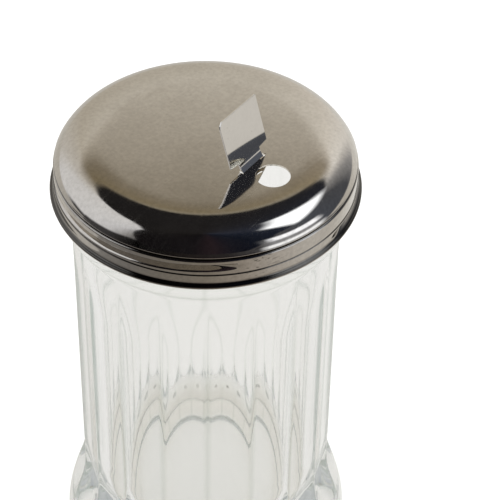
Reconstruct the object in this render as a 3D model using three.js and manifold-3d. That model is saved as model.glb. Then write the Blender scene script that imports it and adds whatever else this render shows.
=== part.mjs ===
// Glass sugar pourer: a fluted glass jar with a swollen foot, a drawn steel screw lid with a pour hole,
// a bent sheet flap that swings over the hole, and a soft ring between the jar's rim and the lid.
// Millimetres, +Z up, origin at the centre of the jar's underside, +X from the axis towards the pour hole.
import * as THREE from "three";
import { mergeVertices } from "three/addons/utils/BufferGeometryUtils.js";
import Module from "manifold-3d";

const wasm = await Module();
wasm.setup();
const { degToRad, smoothstep } = THREE.MathUtils;

// ---- jar sizes ----
const JAR_COLUMNS = 72; // facets round the jar
const FLUTES = 18;
const FLUTE_DEPTH = 0.95; // ridge to the deepest line of a flute
const FLUTE_FOOT_DEPTH = 2.1; // deeper where a flute is cut into the foot
const FLUTE_AZIMUTH_DEG = -48.8; // one ridge points this way
const FLUTE_START_Z = 13; // the flutes fade in between these heights
const FLUTE_FADED_IN_Z = 24;
const FOOT_DEPTH_Z = 22; // the foot depth eases to the body depth between these heights
const BODY_DEPTH_Z = 40;
const FLUTE_FULL_Z = 93; // the flutes fade out between these heights
const FLUTE_TOP_Z = 111;
const BODY_R = 32.7;
const FOOT_R = 37.6;
const COLLAR_R = 35.0;
const NECK_R = 33.6;
const MOUTH_R = 28.4;
const RIM_Z = 128.4;
const FLOOR_Z = 15;

// ---- screw thread, right hand, one start ----
const PITCH = 4.233; // six turns to the inch
const JAR_THREAD_R = 34.7;
const LID_THREAD_R = 34.0; // inner radius of the rolled bead in the lid
const THREAD_AZIMUTH_DEG = -41.6; // the lid's bead has its upper end at this azimuth
const LID_THREAD_TOP_Z = 124.5; // centre of the bead there
const LID_THREAD_SWEEP_DEG = 322;
const LID_THREAD_STEPS = 46;
const JAR_THREAD_LEAD_DEG = 26; // from the bead's upper end back to the upper end of the jar's thread
const JAR_THREAD_SWEEP_DEG = 380;
const JAR_THREAD_STEPS = 54;

// ---- lid sizes ----
const LID_COLUMNS = 60; // facets round the lid
const SHEET = 0.45;
const LID_BOTTOM_Z = 119;
const CROWN_Z = 132.61; // the crown is flat out to CROWN_FLAT_R, then turns down into the shoulder
const CROWN_FLAT_R = 22;
const STEP_Z = 127.06; // bottom of the groove between dome and skirt
const GROOVE_R = 35.35;
const SKIRT_R = 36.2;
const BAND_R = 36.4; // slightly wider band below the skirt
const CURL_R = 37.3;
const HOLE_R = 4.1;
const HOLE_AT_R = 20.25;
const HOLE_SIDES = 36;
const CUT_LOW_Z = 120; // the hole and slot cutters span these heights
const CUT_HIGH_Z = 138;

// ---- flap sizes, drawn open ----
const FLAP_SHEET = 0.4;
const FLAP_PIVOT_R = 14.85;
const FLAP_PIVOT_Z = CROWN_Z - SHEET / 2;
const FLAP_SHIFT = 0.45; // along Y
const FLAP_YAW = degToRad(4);
const FLAP_BEND_R = 0.76; // middle of the sheet, about the pivot
const FLAP_BEND_STEPS = 3;
const FLAP_FOOT_DEG = -9; // the foot lies under the lid at this slope
const FLAP_FOOT_LENGTH = 2.2;
const FLAP_FOOT_SLANT = 1.15; // one side of the foot is longer by twice this
const FLAP_NECK_DEG = 133; // direction of the neck where it leaves the slot
const FLAP_NECK_LENGTH = 3.1;
const FLAP_NECK_STEPS = 4;
const FLAP_NECK_W = 8.0;
const FLAP_PLATE_DEG = 107.5; // direction of the plate
const FLAP_PLATE_ROOT = 0.5; // from the neck to the plate's first row
const FLAP_W = 14.1;
const FLAP_H = 12.0;
const FLAP_SHOULDER_RISE = 0.3;
const FLAP_CORNER_H = 1.1; // height over which the plate narrows at its end
const FLAP_TRIMS = [1.1, 0.15]; // narrowing at the -across and +across corners
const SLOT_LOW = -1.75; // slot edges, from the pivot, along the flap's own outward axis
const SLOT_HIGH = -0.3;
const SLOT_W = 8.8;

// ---- ring sizes ----
const RING_COLUMNS = 48;
const RING_LOW_Z = 128.7;
const RING_HIGH_Z = 129.7;
const RING_IN_R = 29.2;
const RING_OUT_R = 32.8;

// ---- shape helpers ----

// A solid from a geometry: only its positions are kept, shared vertices are merged, and triangles that
// close up on the axis are dropped.
function solid(geometry) {
  const bare = new THREE.BufferGeometry();
  bare.setAttribute("position", geometry.getAttribute("position"));
  if (geometry.index) bare.setIndex(geometry.index);
  const merged = mergeVertices(bare, 1e-4);
  const triangles = [];
  for (let i = 0; i < merged.index.count; i += 3) {
    const [a, b, c] = [0, 1, 2].map((corner) => merged.index.getX(i + corner));
    if (a !== b && b !== c && c !== a) triangles.push(a, b, c);
  }
  return new wasm.Manifold(
    new wasm.Mesh({
      numProp: 3,
      vertProperties: new Float32Array(merged.attributes.position.array),
      triVerts: new Uint32Array(triangles),
    }),
  );
}

function solidFromTriangles(positions, index) {
  const geometry = new THREE.BufferGeometry();
  geometry.setAttribute("position", new THREE.Float32BufferAttribute(positions, 3));
  geometry.setIndex(index);
  return solid(geometry);
}

// A profile of [r, z] points turned round the axis. radiusAt(r, z, column) may change the radius.
function turned(profile, columns, phase = 0, radiusAt = (r) => r) {
  const geometry = new THREE.LatheGeometry(
    profile.map(([r, z]) => new THREE.Vector2(r, z)),
    columns,
  );
  geometry.rotateX(Math.PI / 2);
  geometry.rotateZ(phase);
  const position = geometry.getAttribute("position");
  for (let i = 0; i < position.count; i++) {
    const x = position.getX(i);
    const y = position.getY(i);
    const radius = Math.hypot(x, y);
    if (radius < 1e-6) {
      position.setXY(i, 0, 0);
      continue;
    }
    const turns = (Math.atan2(y, x) - phase) / (2 * Math.PI) + 2; // + 2 keeps it positive
    const column = Math.round(turns * columns) % columns;
    const scale = radiusAt(radius, position.getZ(i), column) / radius;
    position.setXY(i, x * scale, y * scale);
  }
  return solid(geometry);
}

// A bead along a helix that falls as the azimuth decreases. section(t) gives the [r, dz] outline at
// t in 0..1, anticlockwise in (r, z).
function helix({ azimuthDeg, topZ, sweepDeg, steps }, section) {
  const positions = [];
  const index = [];
  const sides = section(0).length;
  for (let i = 0; i <= steps; i++) {
    const turn = (degToRad(sweepDeg) * i) / steps;
    const azimuth = degToRad(azimuthDeg) - turn;
    const z = topZ - (PITCH * turn) / (2 * Math.PI);
    for (const [r, dz] of section(i / steps))
      positions.push(r * Math.cos(azimuth), r * Math.sin(azimuth), z + dz);
  }
  for (let i = 0; i < steps; i++)
    for (let j = 0; j < sides; j++) {
      const here = i * sides + j;
      const beside = i * sides + ((j + 1) % sides);
      const next = here + sides;
      const nextBeside = beside + sides;
      index.push(here, nextBeside, next, here, beside, nextBeside);
    }
  const last = steps * sides;
  for (let j = 1; j < sides - 1; j++) {
    index.push(0, j + 1, j);
    index.push(last, last + j, last + j + 1);
  }
  return solidFromTriangles(positions, index);
}

// The lower half of a thread section, completed by its mirror image above.
const mirrored = (lower) => [...lower, ...lower.map(([r, dz]) => [r, -dz]).reverse()];

// Crest radius at t along a thread. Over a share of the sweep at each end, the height from rootR to
// tipR shrinks to the fraction endHeight.
function crestRadius(t, { rootR, tipR, share, endHeight }) {
  const rise = Math.min(1, t / share, (1 - t) / share);
  return rootR + (tipR - rootR) * (endHeight + (1 - endHeight) * rise);
}

// A cutter through the lid's crown with the given [x, y] outline, anticlockwise from above.
function crownCutter(outline) {
  const geometry = new THREE.ExtrudeGeometry(
    new THREE.Shape(outline.map(([x, y]) => new THREE.Vector2(x, y))),
    { depth: CUT_HIGH_Z - CUT_LOW_Z, bevelEnabled: false },
  );
  geometry.translate(0, 0, CUT_LOW_Z);
  return solid(geometry);
}

// ---- jar ----

// [r, z]: from the axis out across the underside, up the outside, over the rim and down the inside.
const JAR_PROFILE = [
  // underside and foot
  [0, 1.6], [22, 1.5], [29.4, 0.9], [30.4, 0], [34.0, 0], [35.6, 0.6], [36.9, 2.2], [37.5, 4.4],
  [FOOT_R, 6.4], [37.3, 9.0], [36.7, 12.1], [36.1, 15.2], [35.3, 18.4], [34.4, 21.6],
  [33.6, 24.9], [33.1, 28.2],
  // body
  [BODY_R, 34], [BODY_R, FLUTE_FULL_Z], [BODY_R, 102], [BODY_R, 107], [BODY_R, FLUTE_TOP_Z],
  // collar
  [33.3, 112.8], [34.5, 113.6], [COLLAR_R, 114.5], [COLLAR_R, 117.4], [34.5, 118.1],
  // neck and rim
  [NECK_R, 118.5], [NECK_R, RIM_Z - 1.1], [33.2, RIM_Z - 0.3], [32.4, RIM_Z],
  [29.6, RIM_Z], [28.8, RIM_Z - 0.4], [MOUTH_R, RIM_Z - 1.4],
  // inner wall and floor
  [27.9, 113], [27.7, 30], [27.3, 23.5], [26.2, 19], [23.5, 16.4],
  [18, FLOOR_Z + 0.3], [0, FLOOR_Z],
];

// 0 on a ridge, 1 on a flute's deepest line.
function fluteShape(column) {
  const columnsPerFlute = JAR_COLUMNS / FLUTES;
  const across = (column % columnsPerFlute) / columnsPerFlute;
  return 1 - (2 * across - 1) ** 2;
}

function flutedRadius(r, z, column) {
  if (r < BODY_R - 0.01) return r; // inner wall
  const fadeIn = smoothstep(z, FLUTE_START_Z, FLUTE_FADED_IN_Z);
  const fadeOut = 1 - smoothstep(z, FLUTE_FULL_Z, FLUTE_TOP_Z);
  const footShare = 1 - smoothstep(z, FOOT_DEPTH_Z, BODY_DEPTH_Z);
  const depth = FLUTE_DEPTH + (FLUTE_FOOT_DEPTH - FLUTE_DEPTH) * footShare;
  return r - fluteShape(column) * depth * fadeOut * fadeIn;
}

function jarThread() {
  const path = {
    azimuthDeg: THREAD_AZIMUTH_DEG - JAR_THREAD_LEAD_DEG,
    topZ: LID_THREAD_TOP_Z + PITCH / 2 - (PITCH * JAR_THREAD_LEAD_DEG) / 360,
    sweepDeg: JAR_THREAD_SWEEP_DEG,
    steps: JAR_THREAD_STEPS,
  };
  const crest = { rootR: NECK_R - 0.25, tipR: JAR_THREAD_R, share: 0.06, endHeight: 0.35 };
  return helix(path, (t) =>
    mirrored([
      [NECK_R - 0.8, -1.0],
      [NECK_R - 0.05, -1.0],
      [crestRadius(t, crest), -0.35],
    ]),
  );
}

function glassJar() {
  const body = turned(JAR_PROFILE, JAR_COLUMNS, degToRad(FLUTE_AZIMUTH_DEG), flutedRadius);
  return body.add(jarThread());
}

// ---- flap frame ----

// Flap coordinates to [x, y, z]: outward, across and up, from the pivot.
const fromPivot = (outward, across, up) => [
  FLAP_PIVOT_R + outward * Math.cos(FLAP_YAW) - across * Math.sin(FLAP_YAW),
  FLAP_SHIFT + outward * Math.sin(FLAP_YAW) + across * Math.cos(FLAP_YAW),
  FLAP_PIVOT_Z + up,
];

// ---- lid ----

// [r, z]: down the inside from the axis, round the curl and up the outside.
const LID_PROFILE = [
  // inside of the dome
  [0, CROWN_Z - SHEET], [CROWN_FLAT_R, CROWN_Z - SHEET],
  [25.38, 132.123], [27.45, 131.985], [29.37, 131.68], [31.04, 131.198],
  [32.59, 130.466], [33.88, 129.515], [34.81, 128.462], [35.32, 127.6],
  // inside of the groove, skirt and band
  [GROOVE_R - SHEET, STEP_Z + 0.1], [GROOVE_R - SHEET, STEP_Z - 0.2],
  [35.7, STEP_Z - 0.75], [SKIRT_R - SHEET, LID_BOTTOM_Z + 3.9],
  [BAND_R - SHEET, LID_BOTTOM_Z + 3.5], [BAND_R - SHEET, LID_BOTTOM_Z + 1.4],
  [36.1, LID_BOTTOM_Z + 0.4],
  // rolled curl
  [36.5, LID_BOTTOM_Z], [37.0, LID_BOTTOM_Z + 0.1], [CURL_R, LID_BOTTOM_Z + 0.55],
  [37.15, LID_BOTTOM_Z + 1.0], [36.7, LID_BOTTOM_Z + 1.2], [36.45, LID_BOTTOM_Z + 1.6],
  // outside of the band, skirt and groove
  [BAND_R, LID_BOTTOM_Z + 3.5], [SKIRT_R, LID_BOTTOM_Z + 3.75], [SKIRT_R, STEP_Z - 0.7],
  [36.0, STEP_Z - 0.3], [GROOVE_R, STEP_Z], [GROOVE_R, STEP_Z + 0.15], [35.85, STEP_Z + 0.37],
  // outside of the dome
  [35.82, 127.62], [35.18, 128.722], [34.19, 129.846], [32.82, 130.853],
  [31.2, 131.62], [29.47, 132.12], [27.49, 132.432], [25.4, 132.572],
  [CROWN_FLAT_R, CROWN_Z], [0, CROWN_Z],
];

// A ridge or furrow along the lid's thread: a crest on a fixed [r, dz] base.
function lidHelix(crest, crestHalfHeight, base) {
  const path = {
    azimuthDeg: THREAD_AZIMUTH_DEG,
    topZ: LID_THREAD_TOP_Z,
    sweepDeg: LID_THREAD_SWEEP_DEG,
    steps: LID_THREAD_STEPS,
  };
  return helix(path, (t) =>
    mirrored([[crestRadius(t, { ...crest, share: 0.05 }), -crestHalfHeight], ...base]),
  );
}

// The bead stands inwards from the skirt.
const lidBead = () =>
  lidHelix({ rootR: 35.6, tipR: LID_THREAD_R, endHeight: 0.3 }, 0.4, [
    [35.95, -1.1],
    [36.02, -1.1],
  ]);

// The furrow that the rolled bead leaves in the outside.
const lidFurrow = () =>
  lidHelix({ rootR: 36.1, tipR: LID_THREAD_R + SHEET, endHeight: 0.12 }, 0.3, [
    [36.15, -0.85],
    [37.5, -1.6],
  ]);

function pourHole() {
  const outline = Array.from({ length: HOLE_SIDES }, (_, i) => {
    const angle = (2 * Math.PI * (i + 0.5)) / HOLE_SIDES;
    return [HOLE_AT_R + HOLE_R * Math.cos(angle), HOLE_R * Math.sin(angle)];
  });
  return crownCutter(outline);
}

function flapSlot() {
  const corners = [
    [SLOT_LOW, -SLOT_W / 2],
    [SLOT_HIGH, -SLOT_W / 2],
    [SLOT_HIGH, SLOT_W / 2],
    [SLOT_LOW, SLOT_W / 2],
  ];
  return crownCutter(corners.map(([outward, across]) => fromPivot(outward, across, 0)));
}

const lidShell = () =>
  turned(LID_PROFILE, LID_COLUMNS)
    .add(lidBead())
    .subtract(lidFurrow())
    .subtract(pourHole())
    .subtract(flapSlot());

// ---- flap ----

// The point a given distance from another in the flap's (outward, up) plane, heading in directionDeg.
const ahead = ({ outward, up }, distance, directionDeg) => ({
  outward: outward + distance * Math.cos(degToRad(directionDeg)),
  up: up + distance * Math.sin(degToRad(directionDeg)),
});

// The middle line of the sheet from the end of the foot, with its direction at each row.
function flapLine() {
  const pivot = { outward: 0, up: 0 };
  const footAzimuth = 360 + FLAP_FOOT_DEG - 90; // where the foot leaves the bend
  const neckAzimuth = FLAP_NECK_DEG + 90; // and where the neck leaves it
  const footRoot = ahead(pivot, FLAP_BEND_R, footAzimuth);
  const footEnd = ahead(footRoot, FLAP_FOOT_LENGTH, FLAP_FOOT_DEG);
  const line = [{ ...footEnd, directionDeg: FLAP_FOOT_DEG + 180 }];
  for (let i = 0; i <= FLAP_BEND_STEPS; i++) {
    const azimuth = footAzimuth + ((neckAzimuth - footAzimuth) * i) / FLAP_BEND_STEPS;
    line.push({ ...ahead(pivot, FLAP_BEND_R, azimuth), directionDeg: azimuth - 90 });
  }
  const neckDirection = (step) =>
    FLAP_NECK_DEG + ((FLAP_PLATE_DEG - FLAP_NECK_DEG) * step) / FLAP_NECK_STEPS;
  for (let i = 1; i <= FLAP_NECK_STEPS; i++) {
    const point = ahead(line.at(-1), FLAP_NECK_LENGTH / FLAP_NECK_STEPS, neckDirection(i - 0.5));
    line.push({ ...point, directionDeg: neckDirection(i) });
  }
  const neckEnd = line.at(-1);
  for (const height of [FLAP_PLATE_ROOT, FLAP_H - FLAP_CORNER_H, FLAP_H])
    line.push({ ...ahead(neckEnd, height, FLAP_PLATE_DEG), directionDeg: FLAP_PLATE_DEG });
  return line;
}

// A grid of four vertex columns on both faces of the sheet; the outer two are used on the plate only.
function pourFlap() {
  const line = flapLine();
  const lastRow = line.length - 1;
  const plateRow = lastRow - 3; // end of the neck, shared with the plate
  const positions = [];
  const index = [];

  line.forEach(({ directionDeg, ...middle }, i) => {
    const [trimLow, trimHigh] = i === lastRow ? FLAP_TRIMS : [0, 0];
    const columns = [
      -FLAP_W / 2 + trimLow,
      -FLAP_NECK_W / 2,
      FLAP_NECK_W / 2,
      FLAP_W / 2 - trimHigh,
    ];
    let lift = [0, 0, 0, 0];
    if (i === 0) lift = [0, -FLAP_FOOT_SLANT, FLAP_FOOT_SLANT, 0];
    if (i === plateRow) lift = [FLAP_SHOULDER_RISE, 0, 0, FLAP_SHOULDER_RISE];
    columns.forEach((across, j) => {
      const centre = ahead(middle, lift[j], directionDeg);
      // on the plate, -1 is the face towards the hole, +1 the face towards the lid's centre
      for (const side of [-1, 1]) {
        const { outward, up } = ahead(centre, (side * FLAP_SHEET) / 2, directionDeg + 90);
        positions.push(...fromPivot(outward, across, up));
      }
    });
  });

  const hasCell = (i, j) =>
    i >= 0 && i < lastRow && (j === 1 || ((j === 0 || j === 2) && i >= plateRow));
  const quad = (a, b, c, d) => index.push(a, c, b, a, d, c);
  // A strip through the sheet's thickness between two grid corners.
  const edge = (from, to) => quad(from, from + 1, to + 1, to);
  for (let i = 0; i < lastRow; i++)
    for (let j = 0; j < 3; j++) {
      if (!hasCell(i, j)) continue;
      const a = (i * 4 + j) * 2;
      const b = a + 2; // next column
      const c = b + 8; // next row and column
      const d = a + 8; // next row
      quad(a + 1, b + 1, c + 1, d + 1);
      quad(a, d, c, b);
      if (!hasCell(i, j - 1)) edge(a, d);
      if (!hasCell(i, j + 1)) edge(c, b);
      if (!hasCell(i - 1, j)) edge(b, a);
      if (!hasCell(i + 1, j)) edge(d, c);
    }
  return solidFromTriangles(positions, index);
}

// ---- ring between rim and lid ----
function sealRing() {
  const profile = [
    [RING_IN_R, RING_LOW_Z],
    [RING_OUT_R, RING_LOW_Z],
    [RING_OUT_R, RING_HIGH_Z],
    [RING_IN_R, RING_HIGH_Z],
    [RING_IN_R, RING_LOW_Z],
  ];
  return turned(profile, RING_COLUMNS);
}

// ---- materials ----
const GLASS = { color: 0xdfe6e2, roughness: 0.05, metalness: 0, transparent: true, opacity: 0.35 };
const LID_STEEL = { color: 0xb5aea3, roughness: 0.25, metalness: 1 };
const FLAP_STEEL = { color: 0xc2bdb4, roughness: 0.22, metalness: 1 };
const SOFT_RING = { color: 0xe8e6df, roughness: 0.7, metalness: 0 };

// ---- assembly ----
const group = new THREE.Group();
group.name = "sugar_pourer";

function addPiece(name, body, material) {
  const { numVert, numProp, vertProperties, triVerts } = body.getMesh();
  const positions = new Float32Array(numVert * 3);
  for (let i = 0; i < numVert; i++)
    positions.set(vertProperties.subarray(i * numProp, i * numProp + 3), i * 3);
  const geometry = new THREE.BufferGeometry();
  geometry.setAttribute("position", new THREE.BufferAttribute(positions, 3));
  geometry.setIndex(new THREE.BufferAttribute(new Uint32Array(triVerts), 1));
  geometry.computeVertexNormals();
  const mesh = new THREE.Mesh(geometry, new THREE.MeshStandardMaterial(material));
  mesh.name = name;
  group.add(mesh);
}

addPiece("glass_jar", glassJar(), GLASS);
addPiece("lid_shell", lidShell(), LID_STEEL);
addPiece("pour_flap", pourFlap(), FLAP_STEEL);
addPiece("seal_ring", sealRing(), SOFT_RING);

export default group;
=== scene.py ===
import math
from math import cos, sin

import bmesh
import bpy
import numpy as np
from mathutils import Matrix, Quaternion, Vector


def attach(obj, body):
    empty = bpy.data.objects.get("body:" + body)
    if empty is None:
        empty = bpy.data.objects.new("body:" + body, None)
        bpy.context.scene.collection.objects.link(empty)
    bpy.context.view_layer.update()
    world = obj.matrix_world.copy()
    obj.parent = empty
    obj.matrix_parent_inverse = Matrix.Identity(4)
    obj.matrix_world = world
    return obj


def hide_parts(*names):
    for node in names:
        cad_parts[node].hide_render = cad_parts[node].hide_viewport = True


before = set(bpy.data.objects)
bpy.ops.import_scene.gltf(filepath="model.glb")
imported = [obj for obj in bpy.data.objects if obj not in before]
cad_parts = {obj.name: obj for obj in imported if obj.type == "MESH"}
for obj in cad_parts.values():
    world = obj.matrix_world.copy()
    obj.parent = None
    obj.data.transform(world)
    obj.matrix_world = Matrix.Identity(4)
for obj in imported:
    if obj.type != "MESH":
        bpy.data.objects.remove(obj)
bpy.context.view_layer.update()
scene = bpy.context.scene

MM = 0.001  # sizes of the pieces are in millimetres, as in the CAD
TURN = 2 * math.pi
rad = math.radians

# ------------------------------------------------------------------ sizes shared by jar and lid
RIM_Z = 128.4
PITCH = 4.233  # drop of the screw thread in one turn
THREAD_AZIMUTH = rad(-41.6)
LID_THREAD_TOP_Z = 124.5


# ------------------------------------------------------------------ mesh helpers
def smooth(low, high, x):
    """0 below low, 1 above high, with an S-curve between."""
    t = np.clip((np.asarray(x, float) - low) / (high - low), 0, 1)
    return t * t * (3 - 2 * t)


def corner(r, z):
    """A sharp corner of a spline: the same point twice."""
    return [(r, z), (r, z)]


def spline(points, step):
    """A Catmull-Rom curve through the points, sampled about every step."""
    points = [np.array(point, float) for point in points]
    curve = [points[0]]
    for i in range(len(points) - 1):
        start, end = points[i], points[i + 1]
        if np.allclose(start, end):
            continue
        before, after = start - (end - start), end + (end - start)
        if i and not np.allclose(points[i - 1], start):
            before = points[i - 1]
        if i + 2 < len(points) and not np.allclose(points[i + 2], end):
            after = points[i + 2]
        # centripetal spacing of the four points
        gap_in, gap, gap_out = (
            max(np.linalg.norm(b - a), 1e-6) ** 0.5
            for a, b in ((before, start), (start, end), (end, after))
        )
        chord = end - start
        leave = chord + gap * ((start - before) / gap_in - (end - before) / (gap_in + gap))
        arrive = chord + gap * ((after - end) / gap_out - (after - start) / (gap + gap_out))
        count = max(1, int(math.ceil(np.linalg.norm(chord) / step)))
        for k in range(1, count + 1):
            t = k / count
            curve.append(
                (2 * t**3 - 3 * t**2 + 1) * start
                + (t**3 - 2 * t**2 + t) * leave
                + (-2 * t**3 + 3 * t**2) * end
                + (t**3 - t**2) * arrive
            )
    return np.array(curve)


def add_object(name, data):
    made = bpy.data.objects.new(name, data)
    scene.collection.objects.link(made)
    return made


def shade_smooth(mesh):
    mesh.polygons.foreach_set("use_smooth", [True] * len(mesh.polygons))


def write_outward(bm, mesh):
    """Turn every face outward, then write the bmesh to the mesh and free it."""
    bmesh.ops.recalc_face_normals(bm, faces=bm.faces)
    if bm.calc_volume(signed=True) < 0:
        bmesh.ops.reverse_faces(bm, faces=bm.faces)
    bm.to_mesh(mesh)
    bm.free()
    mesh.update()


def revolve(name, profile, columns, phase=0.0, reshape=None, closed=False):
    """A solid of revolution from (r, z) rows. The profile's ends lie on the axis, or it closes
    on itself. reshape(radius, z, angle) may move the radius."""
    profile = np.array(profile, float)
    rows = profile if closed else profile[1:-1]
    count = len(rows)
    column_angles = phase + np.arange(columns) * TURN / columns
    radius = np.repeat(rows[:, :1], columns, 1)
    height = np.repeat(rows[:, 1:], columns, 1)
    angle = np.repeat(column_angles[None, :], count, 0)
    if reshape is not None:
        radius = reshape(radius, height, angle)
    places = [radius * np.cos(angle), radius * np.sin(angle), height]
    vertices = (np.stack(places, -1).reshape(-1, 3) * MM).tolist()

    here = np.arange(columns)
    beside = (here + 1) % columns
    faces = []
    for i in range(count if closed else count - 1):
        this, following = i * columns, (i + 1) % count * columns
        quads = [this + here, this + beside, following + beside, following + here]
        faces += np.stack(quads, -1).tolist()
    if not closed:
        first_tip = len(vertices)
        last_tip = first_tip + 1
        vertices += [[0, 0, profile[0][1] * MM], [0, 0, profile[-1][1] * MM]]
        last = (count - 1) * columns
        faces += [[first_tip, int(beside[i]), i] for i in range(columns)]
        faces += [[last_tip, last + i, last + int(beside[i])] for i in range(columns)]

    mesh = bpy.data.meshes.new(name)
    mesh.from_pydata(vertices, [], faces)
    mesh.validate()
    shade_smooth(mesh)
    mesh.update()
    bm = bmesh.new()
    bm.from_mesh(mesh)
    write_outward(bm, mesh)
    return add_object(name, mesh)


def thread_relief(z, angle, start, top_z, sweep, fade, crest, half_width):
    """How much of the thread's full depth each point has, 0..1. The thread falls from top_z at
    the start angle; fade is the share of the sweep over which each end runs out, crest the
    share of the half width that is flat."""
    back = np.mod(start - angle, TURN)
    relief = np.zeros_like(z)
    for turn in range(3):
        along = back + turn * TURN
        part = along / sweep
        ends = smooth(0, fade, np.minimum(part, 1 - part))
        away = np.abs(z - (top_z - PITCH * along / TURN))
        relief = np.maximum(relief, ends * (1 - smooth(crest, 1.0, away / half_width)))
    return relief


# ------------------------------------------------------------------ jar
FLUTES = 18
FLUTE_AZIMUTH = rad(-48.8)
FLUTE_DEPTH = 0.72
FLUTE_FOOT_DEPTH = 2.1
FLUTE_TOP_Z, FLUTE_FULL_Z = 111.0, 93.0  # the flutes fade out between these
FLUTE_START_Z, FLUTE_START_FULL_Z = 13, 24  # and fade in between these
FOOT_DEEP_Z, FOOT_DEEP_END_Z = 22, 40  # the extra depth at the foot is lost between these
FLUTE_EDGE, FLUTE_ROUNDING = 0.92, 12.5  # where the rounded ridge starts, and how round it is
BODY_R, FOOT_R = 32.7, 37.6
COLLAR_R, NECK_R, MOUTH_R = 35.0, 33.6, 28.4
NECK_START_Z = 118.6
FLOOR_Z = 18.6  # the floor inside
JAR_THREAD_R = 34.7
JAR_THREAD_LEAD, JAR_THREAD_SWEEP = rad(26), rad(380)
JAR_STEP = 0.7
NECK_ROW_GAP = 0.22
COLUMNS_PER_FLUTE = 24

# (r, z) from the middle underneath, up the outside, over the rim and down to the inner floor
JAR_OUTLINE = [
    # underside and foot
    (0, 1.6), (22, 1.5), (28.6, 1.2), (29.7, 0.45), (30.8, 0.0),
    *corner(31.0, 0.0), *corner(33.6, 0.0),
    (35.4, 0.5), (36.8, 2.2), (37.45, 4.4), (FOOT_R, 6.4), (37.3, 9.0), (36.55, 12.1),
    (35.75, 15.2), (34.85, 18.4), (33.95, 21.6), (33.25, 24.9), (32.87, 28.2),
    # body
    *corner(BODY_R, 34), *corner(BODY_R, 60), *corner(BODY_R, 85),
    *corner(BODY_R, FLUTE_TOP_Z),
    # collar
    (33.1, 112.5), (34.2, 113.3), (34.85, 113.9), (COLLAR_R, 114.7), (COLLAR_R, 117.2),
    (34.7, 117.9), (NECK_R + 0.3, 118.3), (NECK_R, 118.8),
    # neck and rim
    *corner(NECK_R, 119.4), *corner(NECK_R, RIM_Z - 1.3),
    (33.3, RIM_Z - 0.45), (32.4, RIM_Z),
    *corner(32.0, RIM_Z), *corner(29.8, RIM_Z),
    (28.9, RIM_Z - 0.35), (MOUTH_R, RIM_Z - 1.3),
    # inside
    *corner(MOUTH_R - 0.05, RIM_Z - 2.5), *corner(27.9, 113), *corner(27.7, 38),
    (27.6, 32), (27.1, 27), (25.6, 22.6), (22.6, 20.0), (18, 19.0), (12, 18.7), (0, FLOOR_Z),
]


def jar_profile():
    """The jar's outline, with close rows up the outside of the neck for the thread."""
    outline = spline(JAR_OUTLINE, JAR_STEP)
    rows = []
    for start, end in zip(outline[:-1], outline[1:]):
        rows.append(start)
        rises_outside = start[0] > 32 and end[1] > start[1]
        if rises_outside and NECK_START_Z < start[1] < RIM_Z - 1:
            count = int(np.linalg.norm(end - start) / NECK_ROW_GAP)
            rows += [start + (end - start) * k / count for k in range(1, count)]
    rows.append(outline[-1])
    return rows


def flute_and_thread(radius, z, angle):
    # across a flute runs from -1 to 1: a nearly flat panel, with a rounded ridge at each side
    across = 2 * np.mod((angle - FLUTE_AZIMUTH) / (TURN / FLUTES), 1.0) - 1
    ridge = FLUTE_ROUNDING * np.maximum(np.abs(across) - FLUTE_EDGE, 0) ** 2
    panel = 1 - across * across + ridge
    extra_at_foot = 1 - smooth(FOOT_DEEP_Z, FOOT_DEEP_END_Z, z)
    depth = FLUTE_DEPTH + (FLUTE_FOOT_DEPTH - FLUTE_DEPTH) * extra_at_foot
    fade_top = 1 - smooth(FLUTE_FULL_Z, FLUTE_TOP_Z, z)
    fade_foot = smooth(FLUTE_START_Z, FLUTE_START_FULL_Z, z)
    cut = np.maximum(panel * depth * fade_top * fade_foot, 0)
    outside = (radius > BODY_R - 0.02) & (z > FLUTE_START_Z) & (z < FLUTE_TOP_Z)
    radius = radius - np.where(outside, cut, 0)

    relief = thread_relief(
        z,
        angle,
        start=THREAD_AZIMUTH - JAR_THREAD_LEAD,
        top_z=LID_THREAD_TOP_Z + PITCH / 2 - PITCH * JAR_THREAD_LEAD / TURN,
        sweep=JAR_THREAD_SWEEP,
        fade=0.06,
        crest=0.25,
        half_width=1.0,
    )
    neck = (radius > 33.0) & (z > NECK_START_Z)
    return radius + np.where(neck, (JAR_THREAD_R - NECK_R) * relief, 0)


def build_jar():
    columns = FLUTES * COLUMNS_PER_FLUTE
    return revolve("glass_jar_fine", jar_profile(), columns, FLUTE_AZIMUTH, flute_and_thread)


# ------------------------------------------------------------------ lid
SHEET = 0.45
CROWN_Z = 132.61
STEP_Z = 127.06  # the groove between dome and skirt
LID_BOTTOM_Z = 119.0
SKIRT_R, CURL_R = 36.2, 37.3
LID_THREAD_R, LID_THREAD_SWEEP = 34.0, rad(322)
LID_COLUMNS = 360
LID_STEP = 0.16

# The dome's curvature grows as a power of the way along the arc, from a flat middle.
DOME_CURVATURE = 0.141681  # per mm, when fully grown
DOME_FLAT_ARC, DOME_GROWTH_ARC = 21.848, 13.404
DOME_POWER = 1.3548
DOME_END_SLOPE = rad(64.5)
DOME_STEP = 0.1
DOME_DEPTH = 4.9  # faces higher than this below the crown may belong to the dome

HOLE_R, HOLE_AT_R, HOLE_SIDES = 4.1, 20.25, 96

# The slot and the flap share a frame at the flap's pivot: along (near +X), across, up.
PIVOT_R, PIVOT_Z = 14.85, CROWN_Z - SHEET / 2
FLAP_SHIFT, FLAP_YAW = 0.45, rad(4)
SLOT_LOW, SLOT_HIGH, SLOT_W, SLOT_CORNER_R = -1.75, -0.3, 8.8, 0.2


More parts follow.
